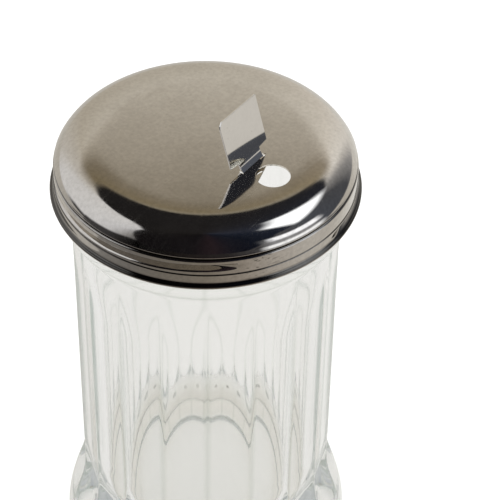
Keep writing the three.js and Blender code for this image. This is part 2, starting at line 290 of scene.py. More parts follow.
def flap_place(along, across, up):
    """A place in metres from millimetres in the flap's frame."""
    return Vector(
        (
            (PIVOT_R + along * cos(FLAP_YAW) - across * sin(FLAP_YAW)) * MM,
            (FLAP_SHIFT + along * sin(FLAP_YAW) + across * cos(FLAP_YAW)) * MM,
            (PIVOT_Z + up) * MM,
        )
    )


def dome_rows():
    """The dome's outside, from the crown down, as rows of (r, z, slope)."""
    slope, r, z, arc = 0.0, 0.0, CROWN_Z, 0.0
    rows = [(r, z, slope)]
    while slope < DOME_END_SLOPE:
        growth = min(max((arc + DOME_STEP / 2 - DOME_FLAT_ARC) / DOME_GROWTH_ARC, 0), 1)
        curvature = DOME_CURVATURE * growth**DOME_POWER
        middle = slope + curvature * DOME_STEP / 2
        r += DOME_STEP * cos(middle)
        z -= DOME_STEP * sin(middle)
        slope += curvature * DOME_STEP
        arc += DOME_STEP
        rows.append((r, z, slope))
    rows = np.array(rows)
    # thin them out: wide apart where the dome is nearly flat, closer on the shoulder
    kept = [0]
    for i in range(1, len(rows)):
        gap = 0.35 if rows[i][2] > rad(13) else 1.1
        far = np.hypot(*(rows[i][:2] - rows[kept[-1]][:2])) >= gap
        if far or i == len(rows) - 1:
            kept.append(i)
    return rows[kept]


def lid_profile(dome):
    """(r, z) over the dome, down the skirt, round the curl and back up inside."""
    outside = [[r, z] for r, z, slope in dome]
    inside = [[max(r - SHEET * sin(a), 0), z - SHEET * cos(a)] for r, z, a in dome]
    step, low = STEP_Z, LID_BOTTOM_Z
    inner_r = SKIRT_R - SHEET
    skirt = [
        outside[-1],
        # groove, then the skirt
        (35.93, step + 0.42), (35.82, step + 0.24), (35.5, step + 0.12), (35.36, step + 0.02),
        (35.5, step - 0.12), (35.95, step - 0.3), (36.18, step - 0.6),
        *corner(SKIRT_R, step - 1.1), *corner(SKIRT_R, low + 3.95),
        # small step out, then the curl
        (36.24, low + 3.72), (36.38, low + 3.55),
        *corner(36.4, low + 3.3),
        (36.4, low + 1.9), (36.5, low + 1.45), (36.75, low + 1.15), (37.08, low + 1.02),
        (CURL_R - 0.05, low + 0.82), (CURL_R, low + 0.5), (37.1, low + 0.14), (36.7, low),
        (36.3, low + 0.16), (36.08, low + 0.55), (35.97, low + 1.2),
        # back up inside
        *corner(35.95, low + 1.9), *corner(35.95, low + 3.1),
        (35.93, low + 3.4), (35.78, low + 3.65),
        *corner(inner_r, low + 3.95), *corner(inner_r, step - 1.3),
        (35.7, step - 0.9), (35.45, step - 0.55), (35.05, step - 0.3), (34.93, step - 0.02),
        (35.05, step + 0.25), (35.32, step + 0.5),
        inside[-1],
    ]
    return outside + spline(skirt, LID_STEP)[1:-1].tolist() + inside[::-1]


def press_thread(radius, z, angle):
    relief = thread_relief(
        z,
        angle,
        start=THREAD_AZIMUTH + rad(7),
        top_z=LID_THREAD_TOP_Z + 0.4,
        sweep=LID_THREAD_SWEEP,
        fade=0.05,
        crest=0.18,
        half_width=np.where(radius > 36.05, 1.1, 1.22),  # outside, inside
    )
    skirt = (radius > 35.6) & (z > LID_BOTTOM_Z + 1.4) & (z < STEP_Z - 0.4)
    depth = SKIRT_R - SHEET - LID_THREAD_R
    return radius - np.where(skirt, depth * relief, 0)


def upright_cutter(name, outline):
    """A prism through the top of the lid, from an outline in metres."""
    n = len(outline)
    vertices = [(x, y, z) for z in (0.122, 0.14) for x, y in outline]
    sides = [[i, (i + 1) % n, n + (i + 1) % n, n + i] for i in range(n)]
    mesh = bpy.data.meshes.new(name)
    mesh.from_pydata(vertices, [], [list(range(n))[::-1], list(range(n, 2 * n)), *sides])
    return add_object(name, mesh)


def hole_cutter():
    outline = []
    for i in range(HOLE_SIDES):
        a = TURN * i / HOLE_SIDES
        outline.append(((HOLE_AT_R + HOLE_R * cos(a)) * MM, HOLE_R * sin(a) * MM))
    return upright_cutter("hole_cut", outline)


def slot_cutter():
    high, low = SLOT_HIGH - SLOT_CORNER_R, SLOT_LOW + SLOT_CORNER_R
    side = SLOT_W / 2 - SLOT_CORNER_R
    outline = []
    for along, across, start in (
        (high, side, 0), (low, side, 90), (low, -side, 180), (high, -side, 270)
    ):
        for k in range(5):
            a = rad(start + 22.5 * k)
            place = flap_place(
                along + SLOT_CORNER_R * cos(a), across + SLOT_CORNER_R * sin(a), 0
            )
            outline.append((place.x, place.y))
    return upright_cutter("slot_cut", outline)


def cut(target, cutters):
    """Cut the cutters out of the target's mesh for good."""
    for cutter in cutters:
        boolean = target.modifiers.new("cut", "BOOLEAN")
        boolean.operation = "DIFFERENCE"
        boolean.solver = "EXACT"
        boolean.object = cutter
    depsgraph = bpy.context.evaluated_depsgraph_get()
    mesh = bpy.data.meshes.new_from_object(target.evaluated_get(depsgraph))
    target.modifiers.clear()
    uncut = target.data
    name = uncut.name
    target.data = mesh
    bpy.data.meshes.remove(uncut)
    mesh.name = name
    for cutter in cutters:
        bpy.data.objects.remove(cutter)


def dome_normal(place, slope):
    outward = Vector((place.x, place.y, 0))
    at_axis = outward.length / MM <= 1e-6
    outward = Vector((1, 0, 0)) if at_axis else outward.normalized()
    return outward * sin(slope) + Vector((0, 0, cos(slope)))


def shade_dome(mesh, dome):
    """The cuts leave long thin faces, so the dome's normals come from its own curve."""
    shade_smooth(mesh)
    mesh.update()
    normals = [Vector(corner_normal.vector) for corner_normal in mesh.corner_normals]
    for face in mesh.polygons:
        centre, flat = face.center, face.normal
        face_r = math.hypot(centre.x, centre.y) / MM
        if face_r >= 35.2 or centre.z / MM <= CROWN_Z - DOME_DEPTH:
            continue
        slope = float(np.interp(face_r, dome[:, 0], dome[:, 2]))
        facing = flat.dot(dome_normal(centre, slope))
        side = 1 if facing > 0 else -1
        # the inside lies one sheet in from the curve
        inset = 0.0 if facing > 0 else SHEET * sin(slope)
        for loop in face.loop_indices:
            if abs(facing) > 0.9:
                place = mesh.vertices[mesh.loops[loop].vertex_index].co
                r = math.hypot(place.x, place.y) / MM
                local_slope = float(np.interp(r + inset, dome[:, 0], dome[:, 2]))
                normals[loop] = dome_normal(place, local_slope) * side
            elif face_r < 35.0:
                normals[loop] = flat.copy()  # walls of the cuts
    mesh.normals_split_custom_set(normals)
    mesh.update()


def build_lid():
    dome = dome_rows()
    lid = revolve("lid_shell_fine", lid_profile(dome), LID_COLUMNS, reshape=press_thread)
    cut(lid, [hole_cutter(), slot_cutter()])
    shade_dome(lid.data, dome)
    return lid


# ------------------------------------------------------------------ flap
FLAP_SHEET = 0.4
BEND_R = 0.76
FOOT_DEG, NECK_DEG, PLATE_DEG = -9.0, 137.0, 106.9  # directions of the parts, up from along
FOOT_LENGTH, NECK_LENGTH, PLATE_LENGTH = 2.2, 3.1, 12.45
NECK_W, PLATE_W = 8.0, 14.1
FOOT_SLANT = 1.15
SHOULDER_RISE, SHOULDER_FADE = 0.3, 2.0
TRIM = 1.1  # the cut corner at the top of the plate
FOOT_ROWS, BEND_ROWS, NECK_ROWS, PLATE_ROWS = 6, 12, 24, 24
NECK_COLUMNS, SIDE_COLUMNS = 14, 6
FLAP_BEVEL = 0.07


def flap_line():
    """Rows (along, up, direction in degrees) through the middle of the sheet, from the foot's
    end to the top of the plate."""
    start_deg, end_deg = 360 + FOOT_DEG - 90, NECK_DEG + 90
    foot_along, foot_up = BEND_R * cos(rad(start_deg)), BEND_R * sin(rad(start_deg))
    line = []
    for k in range(FOOT_ROWS):
        d = FOOT_LENGTH * (1 - k / FOOT_ROWS)
        along, up = foot_along + d * cos(rad(FOOT_DEG)), foot_up + d * sin(rad(FOOT_DEG))
        line.append((along, up, FOOT_DEG + 180))
    for k in range(BEND_ROWS + 1):
        deg = start_deg + (end_deg - start_deg) * k / BEND_ROWS
        line.append((BEND_R * cos(rad(deg)), BEND_R * sin(rad(deg)), deg - 90))
    along, up, _ = line[-1]
    turn = PLATE_DEG - NECK_DEG
    for k in range(1, NECK_ROWS + 1):
        middle = rad(NECK_DEG + turn * (k - 0.5) / NECK_ROWS)
        along += NECK_LENGTH / NECK_ROWS * cos(middle)
        up += NECK_LENGTH / NECK_ROWS * sin(middle)
        line.append((along, up, NECK_DEG + turn * k / NECK_ROWS))
    for k in range(1, PLATE_ROWS + 1):
        d = PLATE_LENGTH * k / PLATE_ROWS
        plate = rad(PLATE_DEG)
        line.append((along + d * cos(plate), up + d * sin(plate), PLATE_DEG))
    return line


def flap_grid():
    """Points (along, across, up, direction) on the middle of the sheet, by (row, column).
    The side columns start at the shoulder, where the neck meets the plate."""
    line = flap_line()
    lengths = [0.0]
    for a, b in zip(line[:-1], line[1:]):
        lengths.append(lengths[-1] + math.hypot(b[0] - a[0], b[1] - a[1]))
    half, neck = PLATE_W / 2, NECK_W / 2
    columns = [
        *np.linspace(-half, -neck, SIDE_COLUMNS + 1)[:-1],
        *np.linspace(-neck, neck, NECK_COLUMNS + 1),
        *np.linspace(neck, half, SIDE_COLUMNS + 1)[1:],
    ]
    shoulder = FOOT_ROWS + BEND_ROWS + NECK_ROWS
    grid = {}
    for i, (along, up, degrees) in enumerate(line):
        direction = rad(degrees)
        from_top = lengths[-1] - lengths[i]
        for j, column in enumerate(columns):
            if i < shoulder and abs(column) > neck:
                continue
            slide = 0.0  # a shift along the sheet
            if i < FOOT_ROWS:
                slide = FOOT_SLANT * (column / neck) * (1 - lengths[i] / FOOT_LENGTH)
            elif i >= shoulder:
                # the shoulders rise a little outwards
                outward = max(0, (abs(column) - neck) / (half - neck))
                fade = max(0.0, 1 - (lengths[i] - lengths[shoulder]) / SHOULDER_FADE)
                slide = SHOULDER_RISE * outward * fade
            across = column
            if from_top < TRIM and column < 0:
                limit = TRIM - from_top - half
                narrowing = limit / -half
                if column < -neck:
                    across = column * narrowing
                else:
                    across = column * (1 - (1 - narrowing) * abs(column) / half)
                across = max(across, limit)
            grid[i, j] = (
                along + slide * cos(direction), across, up + slide * sin(direction), direction
            )
    return grid, len(line), len(columns)


def build_flap():
    grid, row_count, column_count = flap_grid()
    bm = bmesh.new()
    vertices = {}

    def vertex(i, j, side):
        """The vertex at a grid point, on one side (1 or -1) of the sheet."""
        if (i, j, side) not in vertices:
            along, across, up, direction = grid[i, j]
            along -= side * FLAP_SHEET * sin(direction) / 2
            up += side * FLAP_SHEET * cos(direction) / 2
            vertices[i, j, side] = bm.verts.new(flap_place(along, across, up))
        return vertices[i, j, side]

    def face(*corners):
        bm.faces.new([vertex(*key) for key in corners])

    cells = set()
    for i in range(row_count - 1):
        for j in range(column_count - 1):
            if all((i + di, j + dj) in grid for di in (0, 1) for dj in (0, 1)):
                cells.add((i, j))
    for i, j in cells:
        a, b, n = j, j + 1, i + 1
        face((i, a, 1), (i, b, 1), (n, b, 1), (n, a, 1))
        face((i, a, -1), (n, a, -1), (n, b, -1), (i, b, -1))
        # walls along the edges of the sheet
        for neighbour, wall in (
            ((i, j - 1), ((i, a, -1), (i, a, 1), (n, a, 1), (n, a, -1))),
            ((i, j + 1), ((i, b, 1), (i, b, -1), (n, b, -1), (n, b, 1))),
            ((i - 1, j), ((i, a, 1), (i, a, -1), (i, b, -1), (i, b, 1))),
            ((i + 1, j), ((n, a, -1), (n, a, 1), (n, b, 1), (n, b, -1))),
        ):
            if neighbour not in cells:
                face(*wall)
    mesh = bpy.data.meshes.new("pour_flap_fine")
    write_outward(bm, mesh)
    shade_smooth(mesh)
    flap = add_object("pour_flap_fine", mesh)
    bevel = flap.modifiers.new("edge", "BEVEL")
    bevel.width = FLAP_BEVEL * MM
    bevel.segments = 2
    bevel.limit_method = "ANGLE"
    bevel.angle_limit = rad(50)
    bevel.harden_normals = True
    return flap


# ------------------------------------------------------------------ ring
RING_LOW, RING_HIGH, RING_IN, RING_OUT = 128.7, 129.7, 29.2, 32.8


def build_ring():
    low, high, inner, outer = RING_LOW, RING_HIGH, RING_IN, RING_OUT
    # (r, z) round a rectangle with small rounded corners; the last point repeats the first
    outline = [
        *corner(inner + 0.15, low), *corner(outer - 0.15, low),
        (outer - 0.03, low + 0.05),
        *corner(outer, low + 0.2), *corner(outer, high - 0.2),
        (outer - 0.03, high - 0.05),
        *corner(outer - 0.15, high), *corner(inner + 0.15, high),
        (inner + 0.03, high - 0.05),
        *corner(inner, high - 0.2), *corner(inner, low + 0.2),
        (inner + 0.03, low + 0.05),
        (inner + 0.15, low),
    ]
    return revolve("seal_ring_fine", spline(outline, 0.5)[:-1], 180, closed=True)


# ------------------------------------------------------------------ node helpers
class Nodes:
    """Builds a node tree. An input may be a value, an output to link, or None to leave alone.
    Colours are (r, g, b). All methods but add return the new node's output."""

    def __init__(self, owner):
        owner.use_nodes = True
        self.tree = owner.node_tree
        self.tree.nodes.clear()

    def add(self, kind, inputs=None, **settings):
        made = self.tree.nodes.new("ShaderNode" + kind)
        for name, value in settings.items():
            setattr(made, name, value)
        for key, value in (inputs or {}).items():
            socket = made.inputs[key]
            if isinstance(value, bpy.types.NodeSocket):
                self.tree.links.new(value, socket)
            elif value is not None:
                socket.default_value = (*value, 1) if socket.type == "RGBA" else value
        return made

    def place(self):
        return self.add("TexCoord").outputs["Object"]

    def xyz(self, vector):
        parts = self.add("SeparateXYZ", {0: vector}).outputs
        return parts["X"], parts["Y"], parts["Z"]

    def calc(self, operation, a, b=None, c=None, clamp=False):
        inputs = {0: a, 1: b, 2: c}
        return self.add("Math", inputs, operation=operation, use_clamp=clamp).outputs[0]

    def map_range(self, value, from_min, from_max, to_min=0.0, to_max=1.0):
        inputs = {
            "Value": value,
            "From Min": from_min,
            "From Max": from_max,
            "To Min": to_min,
            "To Max": to_max,
        }
        return self.add("MapRange", inputs).outputs[0]

    def mapping(self, vector, rotation=(0, 0, 0), scale=(1, 1, 1)):
        inputs = {"Vector": vector, "Rotation": rotation, "Scale": scale}
        return self.add("Mapping", inputs).outputs[0]

    def noise(self, vector, scale, detail=2.0, roughness=0.5):
        inputs = {"Vector": vector, "Scale": scale, "Detail": detail, "Roughness": roughness}
        return self.add("TexNoise", inputs).outputs["Fac"]

    def ramp(self, source, stops):
        """A colour ramp from (position, colour or grey value) stops."""
        made = self.add("ValToRGB", {0: source})
        elements = made.color_ramp.elements
        while len(elements) < len(stops):
            elements.new(0.5)
        for element, (position, colour) in zip(elements, stops):
            element.position = position
            element.color = (*(colour if isinstance(colour, tuple) else (colour,) * 3), 1)
        return made.outputs[0]

    def mix(self, factor, a, b, blend="MIX"):
        inputs = {"Factor": factor, "A": a, "B": b}
        made = self.add("Mix", inputs, data_type="RGBA", blend_type=blend)
        return made.outputs["Result"]

    def multiply(self, a, b):
        return self.mix(1.0, a, b, "MULTIPLY")

    def bump(self, height, strength, distance, normal=None):
        inputs = {
            "Height": height, "Strength": strength, "Distance": distance, "Normal": normal
        }
        return self.add("Bump", inputs).outputs[0]

    def principled(self, **inputs):
        """Input names are written with underscores: Base_Color."""
        named = {name.replace("_", " "): value for name, value in inputs.items()}
        return self.add("BsdfPrincipled", named).outputs[0]

    def mix_shader(self, factor, a, b):
        return self.add("MixShader", {0: factor, 1: a, 2: b}).outputs[0]


def new_material(name):
    made = bpy.data.materials.new(name)
    return made, Nodes(made)


# ------------------------------------------------------------------ steel
# Painted shade in the lid's creases: (z in mm, brightness), within the range of heights it
# covers
CREASE_LOW_Z, CREASE_HIGH_Z = 118.9, 127.9
CREASE_SHADE = [
    (119.1, 1.0), (119.5, 1.0), (119.75, 0.22), (120.2, 0.13), (120.55, 0.6), (120.9, 1.0),
    (122.5, 1.0), (122.62, 0.25), (122.82, 0.25), (122.95, 1.0),
    (126.6, 1.0), (126.8, 0.3), (127.0, 0.10), (127.28, 0.12), (127.45, 1.0),
]
NICKS_AT = (31.3 * MM, -18.1 * MM, 124.9 * MM)


def crease_shade_and_nicks(nodes, place, colour):
    """Paint shade into the creases by height, and add a patch of dark nicks on the skirt."""
    z = nodes.xyz(place)[2]
    height = nodes.map_range(z, CREASE_LOW_Z * MM, CREASE_HIGH_Z * MM)
    span = CREASE_HIGH_Z - CREASE_LOW_Z
    stops = [((z - CREASE_LOW_Z) / span, (v, v * 0.99, v * 0.975)) for z, v in CREASE_SHADE]
    colour = nodes.multiply(colour, nodes.ramp(height, stops))

    away = nodes.add("VectorMath", {0: place, 1: NICKS_AT}, operation="DISTANCE")
    near = nodes.ramp(away.outputs["Value"], [(0.0022, 1.0), (0.0048, 0.0)])
    flattened = nodes.mapping(place, rotation=(0.3, 0.4, 0.2), scale=(1.0, 1.0, 3.0))
    spots = nodes.ramp(nodes.noise(flattened, scale=520, detail=3), [(0.58, 0.0), (0.64, 1.0)])
    return nodes.mix(nodes.calc("MULTIPLY", near, spots), colour, (0.17, 0.155, 0.13))


def scratches(nodes, place, scale):
    """Fine lines in three directions: narrow bands of stretched noise."""
    lines = None
    for rotation, density in ((0.5, 1.0), (2.1, 1.3), (1.2, 0.8)):
        stretch = (scale * density * 14, scale * density * 0.35, scale)
        stretched = nodes.mapping(place, rotation=(0, 0, rotation), scale=stretch)
        fibres = nodes.noise(stretched, scale=10, detail=3, roughness=0.7)
        band = nodes.ramp(fibres, [(0.62, 0.0), (0.68, 1.0), (0.74, 0.0)])
        lines = band if lines is None else nodes.calc("MAXIMUM", lines, band)
    return lines


def steel(name, bright, dull, scratch_scale, roughness, grain, shade_and_nicks=None):
    """grain is the depth of the fine mottling; the last argument, called with (nodes, place,
    colour), may paint crease shade and dark nicks onto it.
    """
    made, nodes = new_material(name)
    place = nodes.place()
    # broad blotches
    blotches = nodes.ramp(nodes.noise(place, scale=90, detail=5), [(0.35, 0.0), (0.75, 1.0)])
    colour = nodes.mix(blotches, bright, dull)
    # tiny dark specks, in some places only
    cells = nodes.add("TexVoronoi", {"Vector": place, "Scale": 620}).outputs["Distance"]
    specks = nodes.ramp(cells, [(0.0, 1.0), (0.09, 0.0)])
    areas = nodes.ramp(nodes.noise(place, scale=240), [(0.55, 0.0), (0.62, 1.0)])
    speck_colour = (bright[0] * 0.45, bright[1] * 0.42, bright[2] * 0.38)
    colour = nodes.mix(nodes.calc("MULTIPLY", specks, areas), colour, speck_colour)
    # fine grain
    grain_stops = [(0.3, 1 - grain), (0.7, 1 + grain * 0.6)]
    colour = nodes.multiply(colour, nodes.ramp(nodes.noise(place, scale=1150), grain_stops))
    # painted shade in the creases, and a patch of dark nicks
    if shade_and_nicks:
        colour = shade_and_nicks(nodes, place, colour)

    lines = scratches(nodes, place, scratch_scale)
    patches = nodes.noise(place, scale=160, detail=6)
    smooth_end, rough_end = roughness
    polish = nodes.map_range(patches, 0.3, 0.7, smooth_end, rough_end)
    fine_bump = nodes.bump(lines, strength=0.04, distance=0.00002)
    waves = nodes.noise(place, scale=55)
    surface = nodes.principled(
        Base_Color=colour,
        Metallic=1.0,
        Roughness=nodes.calc("MULTIPLY_ADD", lines, 0.05, polish),
        Normal=nodes.bump(waves, strength=0.05, distance=0.0001, normal=fine_bump),
    )
    nodes.add("OutputMaterial", {"Surface": surface})
    return made


# ------------------------------------------------------------------ glass
CLEAR = (0.985, 0.99, 0.985)
CLEAR_WARM = (0.985, 0.985, 0.98)
# painted shade for the ridges between the panels
RIDGE_SHADE, RIDGE_SIDE_SHADE, NO_SHADE = (0.79, 0.81, 0.785), (0.88, 0.90, 0.875), (1.0, 1.0, 1.0)


def glass_colour(nodes, place):
    x, y, z = nodes.xyz(place)
    # outside: painted shade, darker bands below and on the collar, by height
    collar_stops = [
        (0.12, CLEAR), (0.22, (0.68, 0.70, 0.66)), (0.36, (0.52, 0.55, 0.50)),
        (0.47, (0.93, 0.95, 0.925)), (0.60, CLEAR), (0.72, (0.90, 0.92, 0.89)), (0.95, CLEAR),
    ]
    collar_shade = nodes.ramp(nodes.map_range(z, 0.110, 0.120), collar_stops)
    # inside: painted shade, the rounded corner at the bottom is warmer and darker
    flat = nodes.add("CombineXYZ", {"X": x, "Y": y}).outputs[0]
    radius = nodes.add("VectorMath", {0: flat}, operation="LENGTH").outputs["Value"]
    inside = nodes.calc("LESS_THAN", radius, 0.0285)
    corner_stops = [
        (0.0, CLEAR_WARM), (0.185, (0.97, 0.965, 0.95)), (0.21, (0.90, 0.89, 0.855)),
        (0.25, (0.80, 0.775, 0.71)), (0.42, (0.74, 0.71, 0.64)), (0.58, (0.88, 0.865, 0.82)),
        (0.86, CLEAR_WARM),
    ]
    inner_corner_shade = nodes.ramp(nodes.map_range(z, 0.016, 0.030), corner_stops)
    colour = nodes.mix(inside, collar_shade, inner_corner_shade)
    # painted shade: the ridges between the panels, where the glass is thicker, are darker and a
    # little greener, in place of the lines their refraction draws; 40 keeps the count positive
    angle = nodes.calc("ARCTAN2", y, x)
    per_radian = FLUTES / TURN
    flutes = nodes.calc("MULTIPLY_ADD", angle, per_radian, 40 - FLUTE_AZIMUTH * per_radian)
    ridge_stops = [
        (0.0, RIDGE_SHADE), (0.045, RIDGE_SIDE_SHADE), (0.10, NO_SHADE), (0.5, NO_SHADE),
        (0.90, NO_SHADE), (0.955, RIDGE_SIDE_SHADE), (1.0, RIDGE_SHADE),
    ]
    ridge_shade = nodes.ramp(nodes.calc("FRACT", flutes), ridge_stops)
    outside = nodes.calc("GREATER_THAN", radius, 0.0300)
    fluted = nodes.calc("MULTIPLY", outside, nodes.map_range(z, 0.108, 0.085))
    return nodes.mix(fluted, colour, ridge_shade, "MULTIPLY")


def clear_glass():
    made, nodes = new_material("clear_glass")
    place = nodes.place()
    smears = nodes.noise(place, scale=60, detail=5)
    # slow waves in the surface, longer up and down than round the jar
    waves = nodes.noise(nodes.mapping(place, scale=(1, 1, 0.3)), scale=90, detail=3)
    glass = nodes.principled(
        Base_Color=glass_colour(nodes, place),
        Transmission_Weight=1.0,
        IOR=1.44,
        Roughness=nodes.map_range(smears, 0.45, 0.8, to_min=0.04, to_max=0.08),
        Normal=nodes.bump(waves, strength=0.06, distance=0.0003),
    )
    # shadow and diffuse rays pass straight through, so that the jar throws no black shadow
    ray = nodes.add("LightPath").outputs
    passing = nodes.calc("MAXIMUM", ray["Is Shadow Ray"], ray["Is Diffuse Ray"])
    see_through = nodes.add("BsdfTransparent", {"Color": (0.955, 0.96, 0.95)}).outputs[0]
    surface = nodes.mix_shader(passing, glass, see_through)
    # painted light: paths that have wandered far inside the glass end on a soft grey-green glow
    wandered = nodes.calc("GREATER_THAN", ray["Ray Depth"], 8.5)
    glow = nodes.add("Emission", {"Color": (0.60, 0.64, 0.61)}).outputs[0]
    surface = nodes.mix_shader(wandered, surface, glow)
    absorption = {"Color": (0.60, 0.62, 0.58), "Density": 4.5}
    volume = nodes.add("VolumeAbsorption", absorption).outputs[0]
    nodes.add("OutputMaterial", {"Surface": surface, "Volume": volume})
    return made


# ------------------------------------------------------------------ ring and floor materials
def soft_ring():
    made, nodes = new_material("soft_ring")
    grain = nodes.noise(nodes.place(), scale=900, detail=4)
    surface = nodes.principled(
        Base_Color=nodes.ramp(grain, [(0.3, (0.74, 0.73, 0.68)), (0.7, (0.84, 0.83, 0.79))]),
        Roughness=0.62,
        Normal=nodes.bump(grain, strength=0.2, distance=0.00005),
    )
    nodes.add("OutputMaterial", {"Surface": surface})
    return made


def floor_pale():
    made, nodes = new_material("floor_pale")
    grain = nodes.noise(None, scale=14)
    stops = [(0.3, (0.915, 0.915, 0.91)), (0.7, (0.94, 0.94, 0.935))]
    paper = nodes.principled(Base_Color=nodes.ramp(grain, stops), Roughness=0.55)
    # painted shade, given as a glow: seen through the glass the paper is a little greyer and
    # warmer
    self_lit_grey = nodes.add("Emission", {"Color": (0.77, 0.755, 0.73)}).outputs[0]
    through_glass = nodes.mix_shader(0.75, paper, self_lit_grey)
    ray = nodes.add("LightPath").outputs
    surface = nodes.mix_shader(ray["Is Transmission Ray"], paper, through_glass)
    nodes.add("OutputMaterial", {"Surface": surface})
    return made


# ------------------------------------------------------------------ world
# A pale studio painted by direction, in degrees. Azimuth 0 is the viewer's right, 90 away from
# the viewer, 180 left and -90 towards the viewer.
CAMERA_AZIMUTH = rad(40.5)  # of the viewer's right, from +X

# Tables of (azimuth, colour)
WALLS = [
    (-180, (0.87, 0.89, 0.94)), (-162, (0.79, 0.81, 0.87)), (-150, (0.36, 0.36, 0.37)),
    (-138, (0.022, 0.022, 0.024)), (-120, (0.006, 0.005, 0.005)),
    (-100, (0.016, 0.013, 0.013)), (-75, (0.026, 0.023, 0.024)), (-45, (0.10, 0.10, 0.11)),
    (0, (0.085, 0.095, 0.12)), (28, (0.085, 0.09, 0.105)), (44, (0.36, 0.36, 0.37)),
    (56, (0.92, 0.90, 0.87)), (72, (0.80, 0.76, 0.70)), (90, (0.62, 0.585, 0.52)),
    (112, (0.56, 0.52, 0.45)), (130, (0.68, 0.66, 0.63)), (142, (0.83, 0.84, 0.87)),
    (180, (0.87, 0.89, 0.94)),
]
CEILING = [
    (-180, (0.016, 0.015, 0.015)), (-140, (0.007, 0.006, 0.007)),
    (-100, (0.008, 0.007, 0.009)), (-85, (0.022, 0.014, 0.018)), (-70, (0.009, 0.009, 0.016)),
    (-50, (0.007, 0.010, 0.020)), (-25, (0.014, 0.019, 0.035)), (0, (0.030, 0.035, 0.055)),
    (90, (0.017, 0.016, 0.017)), (180, (0.016, 0.015, 0.015)),
]
PAPER = [
    (-180, (0.26, 0.255, 0.25)), (-150, (0.20, 0.19, 0.185)), (-125, (0.22, 0.205, 0.185)),
    (-90, (0.26, 0.235, 0.205)), (-62, (0.36, 0.325, 0.29)), (-38, (0.50, 0.47, 0.44)),
    (-10, (0.60, 0.58, 0.55)), (20, (0.61, 0.59, 0.555)), (60, (0.84, 0.83, 0.80)),
    (90, (0.66, 0.64, 0.60)), (130, (0.60, 0.58, 0.54)), (180, (0.50, 0.49, 0.48)),
]
# Tables of (azimuth, elevation)
SCREEN_FOOT = [
    (-180, 8), (-170, 12.5), (-157, 19), (-146, 27), (-130, 30), (150, 1), (170, 6),
]
WALL_TOP = [
    (-180, 65.5), (-165, 63), (-150, 42), (-135, 20), (-60, 20), (-30, 46), (30, 43), (55, 44),
    (75, 49.7), (95, 50), (108, 47.8), (122, 48.2), (136, 50.5), (148, 56.5), (165, 64),
    (180, 65.5),
]
# Tables of (elevation, colour)
BACK_WALL_FADE = [
    (20, (1.0, 1.0, 1.0)), (34, (1.08, 1.09, 1.10)), (37.3, (1.12, 1.13, 1.15)),
    (39.0, (0.84, 0.83, 0.81)), (41.5, (0.45, 0.415, 0.36)), (46.5, (0.44, 0.39, 0.29)),
    (48.2, (0.48, 0.44, 0.36)), (49.6, (0.66, 0.64, 0.57)),
]
THROUGH_GLASS = [
    (-8, (0.76, 0.75, 0.73)), (4, (0.74, 0.735, 0.72)), (22, (0.66, 0.67, 0.67)),
    (42, (0.50, 0.52, 0.53)), (65, (0.42, 0.44, 0.46)),
]
BACKDROP = [(-4, (0.915, 0.915, 0.91)), (4, (0.925, 0.925, 0.92)), (26, (1.0, 1.0, 1.0))]


